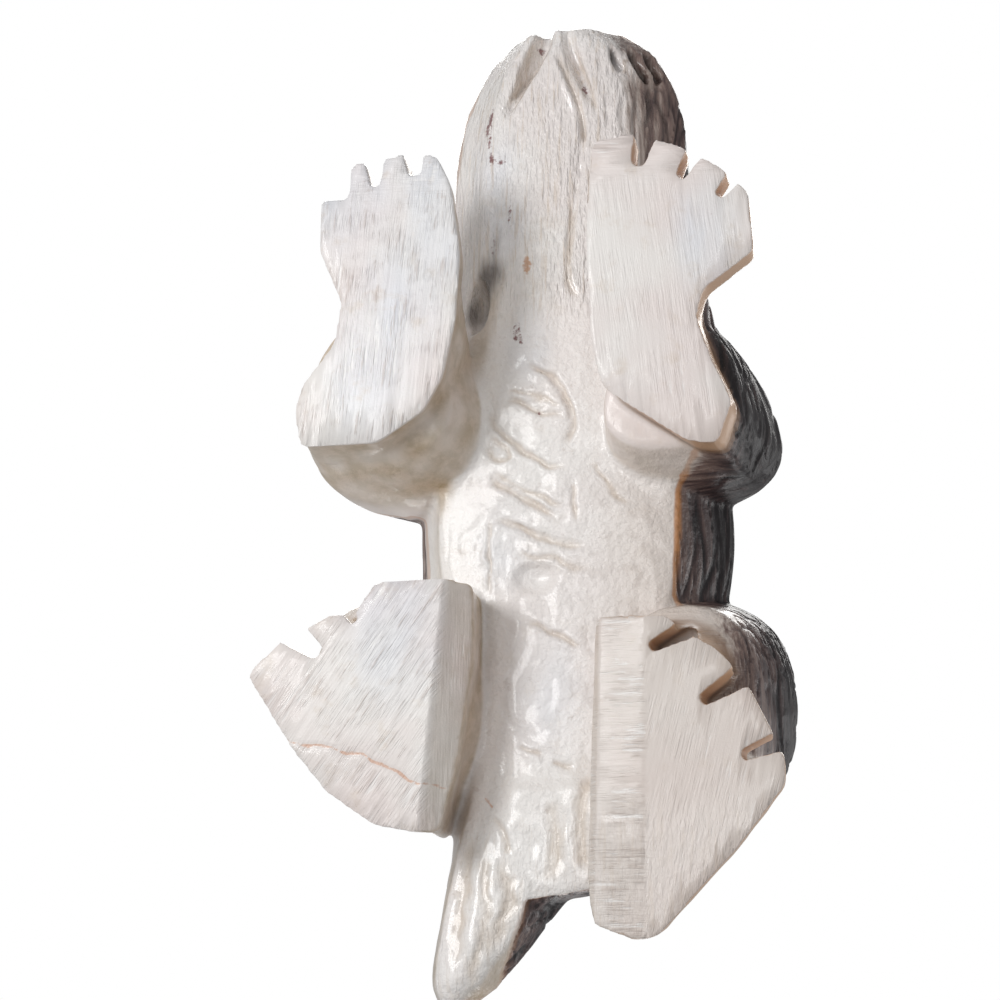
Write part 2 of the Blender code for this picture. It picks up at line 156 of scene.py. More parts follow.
# Lines cut into the underside. Each: points, half width and depth.
CARVED_LINES = (
    (
        ((-2.2, -14.9), (-1.0, -14.0), (0.3, -13.3), (1.3, -11.6), (1.9, -9.6), (1.8, -8.2), (1.2, -7.2)),
        0.26, 0.20,
    ),
    (((-3.7, -11.6), (-2.6, -11.4), (-1.6, -10.9), (-0.3, -10.3), (1.3, -9.9)), 0.20, 0.16),
    (((-3.6, -12.3), (-1.9, -12.1), (-0.3, -11.4), (1.1, -10.6)), 0.16, 0.10),
    (
        ((-4.6, -11.3), (-4.8, -9.9), (-4.1, -8.9), (-2.5, -7.6), (-0.9, -6.4), (0.3, -5.9), (1.8, -5.8)),
        0.24, 0.18,
    ),
    (((-5.4, -8.1), (-4.7, -8.3), (-3.4, -7.5), (-3.5, -6.8), (-4.8, -7.0), (-5.4, -8.1)), 0.20, 0.14),
    (((-5.1, -5.4), (-4.4, -4.6), (-2.7, -3.7), (-0.9, -2.6), (0.7, -1.5)), 0.28, 0.18),
    (((-4.8, -5.6), (-1.9, -4.0), (1.4, -2.4)), 0.18, 0.12),
    (((-4.8, -2.0), (-4.2, -1.7), (-2.6, -1.1), (-0.9, -0.2), (1.1, 0.5), (3.3, 0.8)), 0.24, 0.17),
    (((-2.8, 1.1), (-1.3, 1.6), (0.7, 1.8), (1.6, 2.4), (3.5, 2.7)), 0.22, 0.12),
    (((2.1, -4.6), (2.2, -1.1)), 0.18, 0.10),
    (((3.4, -6.2), (5.2, -3.8), (6.6, -2.2)), 0.16, 0.07),
    (((-1.9, 6.6), (0.2, 7.7), (2.6, 9.2)), 0.22, 0.12),
    (((-2.7, 16.7), (-1.4, 17.2), (-0.2, 17.6)), 0.20, 0.12),
    (((0.2, 18.0), (2.2, 18.8)), 0.20, 0.12),
    (((-4.8, 22.4), (-3.5, 23.6), (-3.1, 25.6)), 0.22, 0.12),
    (((1.9, -28.0), (1.7, -24.9), (1.5, -21.5), (2.6, -19.4)), 0.24, 0.16),
    (((1.8, -41.0), (3.2, -38.2), (3.9, -35.6)), 0.20, 0.12),
    (((0.3, -41.7), (1.1, -39.7), (2.1, -37.3), (2.7, -34.9), (2.7, -32.4)), 0.22, 0.34),
    (((-0.6, -42.8), (-1.5, -41.2), (-2.7, -39.2), (-3.8, -37.4)), 0.16, 0.16),
    (((-5.0, -2.2), (-5.0, 1.5), (-5.1, 4.4)), 0.16, 0.22),
    (((-6.2, 23.4), (-6.7, 28.4), (-7.0, 34.5)), 0.55, 0.16),
    (((-3.8, 25.6), (-2.9, 29.2), (-5.0, 33.6)), 0.60, 0.18),
    (((-5.2, 24.6), (-4.6, 30.2), (-6.2, 36.2)), 0.40, 0.10),
    (((0.4, 21.0), (0.9, 24.4), (0.4, 27.8)), 0.50, 0.12),
    (((3.4, 19.0), (2.9, 23.0), (3.3, 27.2)), 0.50, 0.12),
)

# Cuts and wrinkles on the left of the muzzle, in space. Each: points, half width and depth.
FACE_LINES = (
    (((5.0, -41.9, 9.1), (5.1, -41.0, 9.0), (5.3, -40.3, 9.0), (5.9, -39.4, 9.0)), 0.28, 0.50),
    (
        ((6.2, -42.0, 10.6), (6.4, -41.0, 10.2), (6.7, -40.2, 10.2), (7.1, -39.5, 10.5), (7.7, -38.7, 10.8)),
        0.32, 0.75,
    ),
    (((7.3, -41.9, 11.5), (7.6, -40.8, 11.2), (7.9, -39.9, 11.3), (8.5, -39.0, 11.7)), 0.32, 0.75),
    (((4.7, -38.0, 8.3), (4.6, -36.4, 8.2), (4.7, -34.2, 8.2)), 0.13, 0.10),
    (((5.9, -37.6, 8.6), (5.8, -35.7, 8.4), (6.0, -33.6, 8.4)), 0.18, 0.16),
    (((7.8, -38.6, 10.7), (7.7, -37.4, 10.4), (7.8, -36.0, 10.1), (7.6, -34.4, 9.7)), 0.22, 0.20),
    (((8.1, -37.9, 10.8), (8.7, -36.4, 11.1), (9.1, -34.8, 11.3), (9.3, -32.6, 11.4)), 0.26, 0.20),
    (((7.0, -37.6, 9.5), (6.8, -35.4, 8.9), (6.9, -33.0, 8.8)), 0.18, 0.14),
)

# Face grooves this deep get the full painted shade, shallower ones a share of it.
CUT_SHADE_DEPTH = 0.42

# The closed mouth, on both sides of the head
MOUTH_LINE = (
    (0.4, -44.0, 12.4), (4.2, -43.2, 12.2), (7.2, -41.0, 12.6), (9.0, -38.0, 13.0), (10.0, -34.6, 13.6),
)
MOUTH_WIDTH = 0.30
MOUTH_DEPTH = 0.34
HEAD_MIDDLE = 0.6

# Eyes: centre of the left one, its guard against smoothing, and the ring's radius, width and cut
EYE = (5.6, -35.4, 18.0)
EYE_GUARD = 2.6
EYE_RING = 1.95
EYE_RING_WIDTH = 0.3
EYE_RING_ABOVE = 14.0
EYE_CUT = 0.24
NOSTRIL = (2.2, -43.0, 14.0)
NOSTRIL_SIZE = 0.5
NOSTRIL_DEPTH = 0.35

# The old crack across the right hind foot and on to the belly
CRACK_SOLE = (
    (-19.9, 16.4, 0.0), (-19.2, 16.7, 0.0), (-17.7, 17.1, 0.0), (-17.0, 17.0, 0.0), (-15.7, 17.3, 0.0),
    (-14.6, 17.8, 0.0), (-13.8, 17.8, 0.0), (-13.2, 17.8, 0.0), (-12.4, 18.5, 0.0), (-11.5, 18.8, 0.0),
    (-10.2, 19.4, 0.0), (-9.4, 20.1, 0.0), (-8.6, 20.4, 0.0), (-7.8, 20.3, 0.4), (-6.8, 20.6, 1.7),
)
CRACK_BELLY = ((-7.0, 19.4, 6.4), (-6.1, 20.2, 7.1), (-5.4, 20.6, 6.9), (-4.6, 21.5, 6.7))
CRACK_WIDTH = 0.17
CRACK_DEPTH = 0.10
CRACK_WANDER = 0.10
FAR_FROM_CRACK = 9.0

# Strokes of the file. Each: mask, direction in degrees from the animal's left, pitch and strength.
FILE_STROKES = (
    ("filed_fore_right", 96.0, 0.42, 1.1),
    ("filed_fore_left", 83.0, 0.50, 0.6),
    ("filed_toes", 4.0, 0.42, 1.0),
    ("filed_hind_right", 126.0, 0.50, 1.0),
    ("filed_hind_left", 104.0, 0.50, 0.7),
    ("filed_band", 2.0, 0.46, 1.3),
    ("filed_facet", 92.0, 0.60, 0.7),
)

# Red-brown specks: x, y, z, radius and length along the body
SPECKS = (
    (-5.8, -35.6, 9.0, 0.22, 2.2), (-5.4, -36.4, 8.9, 0.20, 2.6), (-5.6, -34.2, 8.6, 0.24, 1.8),
    (-5.2, -32.6, 8.3, 0.26, 1.2), (-4.3, -32.4, 8.1, 0.30, 1.1), (-3.9, -31.4, 8.1, 0.16, 1.0),
    (-3.5, -27.5, 8.0, 0.14, 4.0), (-4.9, -24.7, 8.2, 0.12, 5.0), (-2.8, -17.3, 7.4, 0.26, 2.0),
    (-2.4, -16.6, 7.4, 0.14, 1.6), (2.7, -37.8, 8.8, 0.26, 1.4), (-1.5, -42.4, 10.4, 0.22, 1.0),
    (-10.2, -12.3, 0.0, 0.22, 2.2), (-10.5, -11.3, 0.0, 0.16, 1.6), (-11.9, -10.5, 0.0, 0.12, 1.2),
    (-15.4, -15.7, 0.0, 0.16, 1.4), (-9.2, -26.0, 0.0, 0.26, 1.0), (-8.6, -24.3, 0.0, 0.16, 1.4),
    (11.0, -20.6, 0.0, 0.26, 1.0), (13.3, -19.4, 0.0, 0.30, 1.0), (15.2, -23.3, 0.0, 0.42, 0.9),
    (14.3, -22.9, 0.0, 0.26, 1.0), (11.6, -19.9, 0.0, 0.16, 1.0), (10.2, -20.1, 0.0, 0.18, 1.0),
    (12.2, -18.5, 0.0, 0.16, 1.0), (12.3, 11.6, 0.0, 0.22, 1.0), (11.1, 11.3, 0.0, 0.16, 1.0),
    (-0.9, -10.4, 7.1, 0.14, 1.0), (6.0, -1.4, 7.3, 0.13, 1.0), (-2.6, 0.4, 7.2, 0.14, 1.0),
    (4.9, -19.2, 0.4, 0.20, 2.4),
)
ORANGE_SPOT = (-2.0, -23.0, 7.8, 0.34, 1.5)
SPECK_SPREAD = 1.45
SPECK_FADE = 0.7

# Painted shade in the right armpit's recess, and its smear towards the chin
ARMPIT_SHADE_DEEP = ((-6.8, -20.0, 9.6), (-5.2, -22.6, 8.3))
ARMPIT_SHADE_SMEAR = ((-5.4, -21.8, 8.3), (-4.6, -26.0, 8.1))

# Soft bluish patches in the cream: x, y, z and radius
BLUE_PATCHES = (
    (-15.6, -27.6, 0.0, 4.2), (-12.0, -29.5, 0.0, 3.6), (-8.2, -28.4, 0.0, 3.4), (-7.4, -23.0, 0.0, 3.0),
    (-5.2, -31.0, 8.2, 3.4), (-3.9, -26.6, 8.0, 2.6), (-3.7, 0.4, 7.1, 2.8), (14.6, -22.2, 0.0, 3.2),
    (0.2, 13.0, 6.9, 4.0), (-2.0, -16.0, 7.4, 2.6), (-10.6, -18.5, 0.0, 4.6), (-13.0, -13.0, 0.0, 4.4),
    (-10.6, 8.0, 0.0, 4.6),
)


# Lamps. Each: name, place in metres, size, power and colour.
WHITE = (1.0, 1.0, 1.0)
WARM_WHITE = (1.0, 0.99, 0.97)
LAMPS = (
    ("key_below", (-0.10, -0.04, -0.15), 0.07, 0.174, WHITE),
    ("front_below", (-0.03, -0.02, -0.36), 0.10, 0.15, WHITE),
    ("fill_below", (0.30, 0.16, -0.34), 0.30, 0.03, WHITE),
    ("key_above", (-0.08, -0.22, 0.50), 0.36, 1.9, WARM_WHITE),
    ("fill_above", (0.40, 0.10, 0.30), 0.30, 0.7, WHITE),
    ("back_above", (-0.05, 0.42, 0.36), 0.25, 0.8, WHITE),
)
LAMP_AIM = (0.0, 0.0, 8 * MM)
SURROUND_LIGHT = 0.38
SURROUND_SEEN = 1.0

# Floor
FLOOR_SIZE = 0.9
FLOOR_GAP = 0.15 * MM
FLOOR_COLOUR = (0.82, 0.81, 0.80, 1.0)
FLOOR_ROUGHNESS = 0.8


def screen(colour):
    """Linear colour from one given as it looks on screen."""
    return tuple((part / 255.0) ** 2.2 for part in colour) + (1.0,)


def smoothstep(low, high, value):
    """0 below low, 1 above high and smooth between."""
    t = np.clip((value - low) / (high - low), 0.0, 1.0)
    return t * t * (3.0 - 2.0 * t)


def field(points, stretch, start):
    """Smooth noise at points in millimetres, about -1 to 1."""
    spots = (points * np.array(stretch) + start).tolist()
    return np.array([noise.noise(spot) for spot in spots])


def rounded(path, steps=5):
    """A path of many short pieces that bends smoothly through its points."""
    points = [np.array(point, float) for point in path]
    if len(points) < 3:
        return points
    ends = [2 * points[0] - points[1]] + points + [2 * points[-1] - points[-2]]
    curve = []
    for a, b, c, d in zip(ends, ends[1:], ends[2:], ends[3:]):
        for step in range(steps):
            t = step / steps
            curve.append(
                0.5 * (2 * b + (c - a) * t + (2 * a - 5 * b + 4 * c - d) * t * t
                       + (3 * b - a - 3 * c + d) * t ** 3)
            )
    return curve + [points[-1]]


def path_distance(points, path):
    """How far each point is from a path, and how far along the path its nearest spot lies, 0 to 1."""
    lengths = [np.linalg.norm(b - a) for a, b in zip(path, path[1:])]
    total = sum(lengths)
    nearest = np.full(len(points), np.inf)
    along = np.zeros(len(points))
    before = 0.0
    for a, b, length in zip(path, path[1:], lengths):
        t = np.clip((points - a) @ (b - a) / length ** 2, 0.0, 1.0)
        gap = np.linalg.norm(points - (a + t[:, None] * (b - a)), axis=1)
        closer = gap < nearest
        nearest[closer] = gap[closer]
        along[closer] = (before + t[closer] * length) / total
        before += length
    return nearest, along


def groove(points, path, width, fade=0.18):
    """Strength of a soft groove along a path and of the low lips beside it."""
    gap, along = path_distance(points, rounded(path))
    ends = smoothstep(0.0, fade, along) * smoothstep(0.0, fade, 1.0 - along)
    middle = np.exp(-((gap / width) ** 2)) * ends
    lips = np.exp(-(((gap - 2.0 * width) / width) ** 2)) * ends
    return middle, lips


def rows_at(table, y):
    """A table's columns read at each y."""
    columns = np.array(table).T
    return [np.interp(y, columns[0], column) for column in columns[1:]]


def skin_mesh(node):
    """A fine even mesh of the carving, made from its solid."""
    shape = bmesh.new()
    shape.from_mesh(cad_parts[node].data)
    bmesh.ops.remove_doubles(shape, verts=shape.verts, dist=0.001 * MM)
    mesh = bpy.data.meshes.new("carved_skin")
    shape.to_mesh(mesh)
    shape.free()
    rough = bpy.data.objects.new("carved_skin", mesh)
    bpy.context.scene.collection.objects.link(rough)
    remesh = rough.modifiers.new("even_mesh", "REMESH")
    remesh.mode = "VOXEL"
    remesh.voxel_size = VOXEL
    fine = bpy.data.meshes.new_from_object(rough.evaluated_get(bpy.context.evaluated_depsgraph_get()))
    bpy.data.objects.remove(rough)
    return fine


def coordinates(mesh, what="co"):
    """Vertex positions or normals as rows."""
    rows = np.zeros(len(mesh.vertices) * 3, np.float32)
    if what == "co":
        mesh.vertices.foreach_get("co", rows)
    else:
        mesh.vertex_normals.foreach_get("vector", rows)
    return rows.reshape(-1, 3).astype(float)


def drawing(mesh):
    """Vertex positions in the drawing's millimetres."""
    return (coordinates(mesh) - np.array(DRAWING_ZERO)) / MM


def smooth(shape, chosen, upright=True):
    """One round of smoothing for the chosen points, which keep their height unless upright is set."""
    verts = [shape.verts[i] for i in np.flatnonzero(chosen)]
    bmesh.ops.smooth_vert(
        shape, verts=verts, factor=0.5, use_axis_x=True, use_axis_y=True, use_axis_z=upright
    )


def soften(mesh):
    """Rounds the joins and facets, and leaves the ground soles and their toes crisp."""
    points = drawing(mesh)
    x, y, z = points.T
    free = z > SOLE_GUARD
    face = y < -37.0
    shape = bmesh.new()
    shape.from_mesh(mesh)
    shape.verts.ensure_lookup_table()
    eyes = np.minimum(*(np.linalg.norm(points - spot, axis=1) for spot in both_sides(EYE))) < EYE_GUARD
    belly = (z < BELLY_GUARD) & (np.abs(x - 0.2) < 5.6) & (y > -24.0)
    hips = (np.abs(x - 1.0) < 5.5) & (y > 17.0) & (z > 3.6) & (z < 9.0)
    for turn in range(SOFTENING_ROUNDS):
        carved = (face & (turn >= FACE_ROUNDS)) | (eyes & (turn >= EYE_ROUNDS))
        carved |= belly & (turn >= BELLY_ROUNDS)
        smooth(shape, free & ~carved)
    for turn in range(HIP_ROUNDS):
        smooth(shape, hips)
    for turn in range(OUTLINE_ROUNDS):
        smooth(shape, ~free, upright=False)
    shape.to_mesh(mesh)
    shape.free()


def both_sides(spot):
    """A place on the head and its mirror image."""
    return [np.array(spot), np.array((2 * HEAD_MIDDLE - spot[0], spot[1], spot[2]))]


def rind_parts(points):
    """The rind's share, its darkness, the distance past its border and how crisp that border is."""
    x, y, z = points.T
    wander = field(points, (0.30, 0.16, 0.30), 11.0)
    fine = field(points, (1.3, 0.30, 1.3), 27.0)
    begin, full, first = rows_at(RIND_SIDE, y)
    crisp = smoothstep(0.12, 0.40, first)
    past_side = x + z / 2.0 - begin + (0.8 - 0.5 * crisp) * wander + (0.6 - 0.45 * crisp) * fine
    past_side -= NO_RIND * smoothstep(2.6, 1.6, z)
    past_side -= NO_RIND * smoothstep(4.4, 5.4, x) * smoothstep(18.0, 22.0, y) * smoothstep(7.0, 5.6, z)
    low, high = rows_at(RIND_TOP, y)
    past_top = z - low + 0.9 * wander + 0.5 * fine
    tone_side = first + (1.0 - first) * np.clip(past_side / (full - begin), 0.0, 1.0) ** 1.4
    tone_top = 0.25 + 0.75 * past_top / (high - low)
    side_leads = np.where(past_side > 0.0, tone_side, past_side - 5.0) > np.where(
        past_top > 0.0, tone_top, past_top - 5.0
    )
    past = np.where(side_leads, past_side, past_top)
    tone = np.where(side_leads, tone_side, tone_top)
    crisp = np.where(side_leads, crisp, 0.5)
    share = past / (2.6 - 2.3 * crisp)
    crisp = np.where(y > 28.0, 0.3 * crisp, crisp)
    return share, np.clip(tone, 0.0, 1.0), past, crisp


def stroke_relief(points, zones):
    """The strokes of the file as low relief, -1 to 1, where each zone has them."""
    relief = np.zeros(len(points))
    for mask_name, degrees, pitch, strength in FILE_STROKES:
        inside = zones[mask_name] > 0.02
        turn = math.radians(degrees)
        x, y, z = points[inside].T
        along = x * math.cos(turn) + y * math.sin(turn)
        across = y * math.cos(turn) - x * math.sin(turn)
        strokes = field(np.stack((along, across, z), axis=1), (0.12, 0.75 / pitch, 0.3), degrees)
        relief[inside] += strokes * strength * zones[mask_name][inside]
    return relief


def ribs(points, crosswise):
    """Narrow furrows that run along the rind, 0 on a rib and 1 in a furrow."""
    bend = field(points, (0.12, 0.10, 0.12), 3.0)[:, None] * np.array((1.6, 0.0, 1.6))
    bent = points + bend
    wide = np.abs(field(bent, (0.62, 0.045, 0.62), 5.0))
    thin = np.abs(field(bent, (1.25, 0.075, 1.25), 41.0))
    lengthwise = np.maximum(smoothstep(0.16, 0.0, wide), 0.7 * smoothstep(0.13, 0.0, thin))
    level = smoothstep(0.14, 0.0, np.abs(field(points, (0.05, 0.8, 0.8), 47.0)))
    return lengthwise * (1.0 - crosswise) + 0.6 * level * crosswise


def chisel(points):
    """Shallow hollows that a knife and a file leave, -1 to 1."""
    return 0.7 * field(points, (0.45, 0.28, 0.45), 71.0) + 0.3 * field(points, (1.0, 0.5, 1.0), 83.0)


def cut_lines(push, points, under):
    """Cuts the wavering lines of the underside, and returns how strong they are, which sets their painted
    shade.
    """
    waver = np.stack([field(points, (0.9, 0.9, 0.9), start) for start in (13.0, 17.0)], axis=1)
    flat = points.copy()
    flat[:, :2] += LINE_WAVER * waver * smoothstep(-20.0, -17.0, points[:, 1])[:, None]
    flat[:, 2] = 0.0
    uneven = 1.0 + 0.6 * field(points, (0.55, 0.55, 0.55), 23.0)
    line_shade = np.zeros(len(points))
    for path, width, depth in CARVED_LINES:
        middle, lips = groove(flat, [(*spot, 0.0) for spot in path], width)
        push -= (depth * middle - LINE_LIPS * depth * lips) * under * uneven
        line_shade = np.maximum(line_shade, middle * under * uneven)
    return np.clip(line_shade, 0.0, 1.0)


def cut_face(push, points):
    """Cuts the muzzle's lines, the mouth, the rings of the eyes and the nostrils, and returns where their
    grooves get painted shade.
    """
    cut_shade = np.zeros(len(points))
    for path, width, depth in FACE_LINES:
        middle, lips = groove(points, path, width)
        push -= depth * middle - FACE_LIPS * depth * lips
        cut_shade = np.maximum(cut_shade, middle * min(1.0, depth / CUT_SHADE_DEPTH))
    for mirror in (False, True):
        path = [both_sides(spot)[mirror] for spot in MOUTH_LINE]
        middle, lips = groove(points, path, MOUTH_WIDTH)
        push -= MOUTH_DEPTH * middle - FACE_LIPS * MOUTH_DEPTH * lips
        cut_shade = np.maximum(cut_shade, middle)
        eye = np.linalg.norm((points - both_sides(EYE)[mirror])[:, :2], axis=1)
        ring = np.exp(-(((eye - EYE_RING) / EYE_RING_WIDTH) ** 2)) * (points[:, 2] > EYE_RING_ABOVE)
        push -= EYE_CUT * ring
        cut_shade = np.maximum(cut_shade, 0.7 * ring)
        pit = np.linalg.norm(points - both_sides(NOSTRIL)[mirror], axis=1)
        hole = np.exp(-((pit / NOSTRIL_SIZE) ** 2))
        push -= NOSTRIL_DEPTH * hole
        cut_shade = np.maximum(cut_shade, hole)
    return cut_shade


def open_crack(push, points):
    """Opens the old crack, and returns how far each point is from it."""
    crack = np.full(len(points), FAR_FROM_CRACK)
    for path in (CRACK_SOLE, CRACK_BELLY):
        gap = path_distance(points, [np.array(spot) for spot in path])[0]
        crack = np.minimum(crack, gap + CRACK_WANDER * field(points, (1.1, 1.1, 1.1), 7.0))
    push -= CRACK_DEPTH * np.exp(-((crack / CRACK_WIDTH) ** 2))
    return np.clip(crack, 0.0, 2.0)


def foot_walls(points, normals):
    """The upright edges of the feet on the animal's left."""
    x, y, z = points.T
    upright = smoothstep(0.9, 0.5, np.abs(normals[:, 2]))
    rounded_edge = smoothstep(0.12, 0.45, normals[:, 0]) * smoothstep(0.8, 0.5, z)
    left = smoothstep(0.0, 3.0, x)
    outer = np.clip(smoothstep(6.0, 9.0, x) + 0.6 * smoothstep(-27.0, -29.0, y), 0.0, 1.0)
    return smoothstep(3.6, 2.8, z) * np.maximum(upright, rounded_edge) * left * outer


def work_skin(mesh):
    """Cuts the fine relief into the mesh and records each finish as an attribute."""
    points = drawing(mesh)
    normals = coordinates(mesh, "normal")
    x, y, z = points.T
    down = smoothstep(0.1, 0.6, -normals[:, 2])
    under = down * smoothstep(3.4, 4.6, z) * smoothstep(12.0, 10.0, z)
    above = smoothstep(0.3, 1.4, z)
    crosswise = smoothstep(0.55, 0.8, np.abs(normals[:, 1])) * (np.abs(y) < 26.0)
    share, tone, past, crisp = rind_parts(points)
    rind = smoothstep(0.0, 1.0, share) * (0.3 + 0.7 * tone)
    rib = ribs(points, crosswise)
    tail = smoothstep(21.0, 25.0, y) * (1.0 - rind)
    throat = under * smoothstep(-16.0, -21.0, y) * smoothstep(-43.0, -40.0, y)
    head = smoothstep(-22.0, -27.0, y) * smoothstep(5.0, 7.0, z)
    muzzle = smoothstep(-36.5, -39.5, y)

    push = np.zeros(len(points))
    line_shade = cut_lines(push, points, under)
    cut_shade = cut_face(push, points)
    crack = open_crack(push, points)
    strands = field(points, (1.9, 0.16, 1.9), 57.0)
    push += STRAND_RELIEF * strands * throat
    push -= RIB_DEPTH * rib * smoothstep(0.25, 0.65, rind) * above * (1.0 - 0.75 * muzzle)
    push += CHISEL_DEPTH * chisel(points) * above * (1.0 - 0.6 * rind)
    lumps = np.abs(field(points, (0.55, 0.42, 0.55), 61.0)) - 0.2
    push += (LUMP_HEIGHT - LOWER_ON_TAIL * tail) * lumps * under * (1.0 - throat)
    furrows = np.maximum(0.0, -strands) * head * smoothstep(0.08, 0.4, rind) * (1.0 - muzzle)
    push -= FURROW_DEPTH * furrows
    zones = filed_zones(points, normals)
    push += STROKE_RELIEF * stroke_relief(points, zones)
    moved = coordinates(mesh) + normals * push[:, None] * MM
    mesh.vertices.foreach_set("co", moved.astype(np.float32).ravel())

    finishes = {
        "rind_share": np.clip(share, -2.0, 3.0),
        "rind_tone": tone,
        "rind_past": np.clip(past, -3.0, 3.0),
        "rim": crisp,
        "foot_wall": foot_walls(points, normals),
        "crosswise": crosswise,
        "rib": (1.0 - 0.8 * muzzle) * rib * smoothstep(0.15, 0.5, rind),
        # Painted shade along the carved lines
        "line_shade": line_shade,
        # Painted shade in the face's grooves
        "cut_shade": cut_shade,
        "crack": crack,
        # Partly painted shade: walls between soles and body tinted darker
        "tan_and_shade": tan_and_shaded_walls(points, normals),
        # Warmer and darker towards the animal's left hind: partly real tone, partly painted shade
        "warm_and_shade": smoothstep(1.0, 8.0, x) * smoothstep(-11.0, 0.0, y) * (1.0 - rind),
        "strand": np.maximum.reduce((throat, 0.8 * head * (1.0 - rind), 0.45 * tail)),
        "belly": under * (1.0 - throat),
        "speck": speck_mask(points, SPECKS),
        "orange": speck_mask(points, (ORANGE_SPOT,)),
        "blue": patch_mask(points),
        # Painted shade in the right armpit's recess and towards the chin
        "armpit_shade": armpit_shade_mask(points),
    }
    finishes.update(zones)
    for name, values in finishes.items():
        layer = mesh.attributes.new(name, "FLOAT", "POINT")
        layer.data.foreach_set("value", values.astype(np.float32))


def tan_and_shaded_walls(points, normals):
    """Walls between soles and body tinted warmer and darker, strongest on the animal's right: partly their
    real tint, partly painted shade.
    """
    x, y, z = points.T
    upright = smoothstep(0.85, 0.35, np.abs(normals[:, 2]))
    low = smoothstep(0.15, 0.6, z) * smoothstep(11.0, 7.0, z)
    right = smoothstep(1.0, -2.5, x)
    inner_edge = -4.6 - 0.25 * (y + 17.0)
    arm = smoothstep(0.0, -1.2, x - inner_edge) * smoothstep(-1.0, -4.0, y) * smoothstep(-24.0, -20.0, y)
    upright = np.maximum(upright, arm * smoothstep(9.5, 7.5, z))
    blotch = 0.75 + 0.5 * field(points, (0.5, 0.5, 0.5), 19.0)
    return upright * low * (0.40 + 0.60 * right) * blotch


def filed_zones(points, normals):
    """Where the file has left strokes, one mask for each direction."""
    x, y, z = points.T
    down = -normals[:, 2]
    sole = smoothstep(0.9, 0.35, z) * smoothstep(0.5, 0.8, down)
    facet = smoothstep(4.8, 3.8, z) * smoothstep(0.15, 0.4, down) * (1.0 - sole)
    fore = smoothstep(0.5, -0.5, y)
    hind = 1.0 - fore
    right = smoothstep(0.5, -0.5, x)
    left = 1.0 - right
    toes = smoothstep(-26.0, -28.5, y)
    band = smoothstep(9.7, 9.2, x)
    return {
        "filed_fore_right": sole * fore * right * (1.0 - 0.5 * toes),
        "filed_fore_left": sole * fore * left * (1.0 - toes),
        "filed_toes": sole * fore * toes * (1.0 - 0.3 * right),
        "filed_hind_right": sole * hind * right,
        "filed_hind_left": sole * hind * left * (1.0 - band),
        "filed_band": np.maximum(sole * band, facet) * hind * left,
        "filed_facet": facet * hind * right,
    }


def speck_mask(points, specks):
    """Small spots drawn out along the body, half strength at their edge."""
    mask = np.zeros(len(points))
    for x, y, z, radius, length in specks:
        gap = np.linalg.norm((points - np.array((x, y, z))) / np.array((1.0, length, 2.0)), axis=1)
        mask = np.maximum(mask, np.clip(0.5 + (SPECK_SPREAD * radius - gap) / SPECK_FADE, 0.0, 1.0))
    return mask


def patch_mask(points):
    """Broad soft patches where the cream turns bluish."""
    mask = np.zeros(len(points))
    for x, y, z, radius in BLUE_PATCHES:
        gap = np.linalg.norm((points - np.array((x, y, z))) / np.array((1.0, 1.5, 1.5)), axis=1)
        mask = np.maximum(mask, smoothstep(1.2, 0.2, gap / radius))
    return mask * (0.75 + 0.5 * field(points, (0.5, 0.3, 0.5), 101.0))


def armpit_shade_mask(points):
    """Painted shade in the right armpit's recess, smeared a little towards the chin."""
    deep = path_distance(points, [np.array(spot) for spot in ARMPIT_SHADE_DEEP])[0]
    smear = path_distance(points, [np.array(spot) for spot in ARMPIT_SHADE_SMEAR])[0]
    return np.maximum(smoothstep(2.0, 0.4, deep), 0.35 * smoothstep(0.8, 0.1, smear))


def thin_out(skin):
    """Brings the mesh under its triangle limit."""
    faces = skin.modifiers.new("thin_out", "DECIMATE")
    faces.ratio = min(1.0, SKIN_TRIANGLES / (2.0 * len(skin.data.polygons)))
    faces.use_collapse_triangulate = True
    finished = bpy.data.meshes.new_from_object(skin.evaluated_get(bpy.context.evaluated_depsgraph_get()))
    skin.modifiers.clear()
    skin.data = finished


def make_carving():
    """The whole carving as one fine mesh in place of its solid."""
    mesh = skin_mesh("reptile_carving")
    soften(mesh)
    work_skin(mesh)
    carving = bpy.data.objects.new("carved_reptile", mesh)
    bpy.context.scene.collection.objects.link(carving)
    thin_out(carving)
    carving.data.shade_smooth()
    carving.data.materials.clear()
    carving.data.materials.append(antler_material())
    return carving


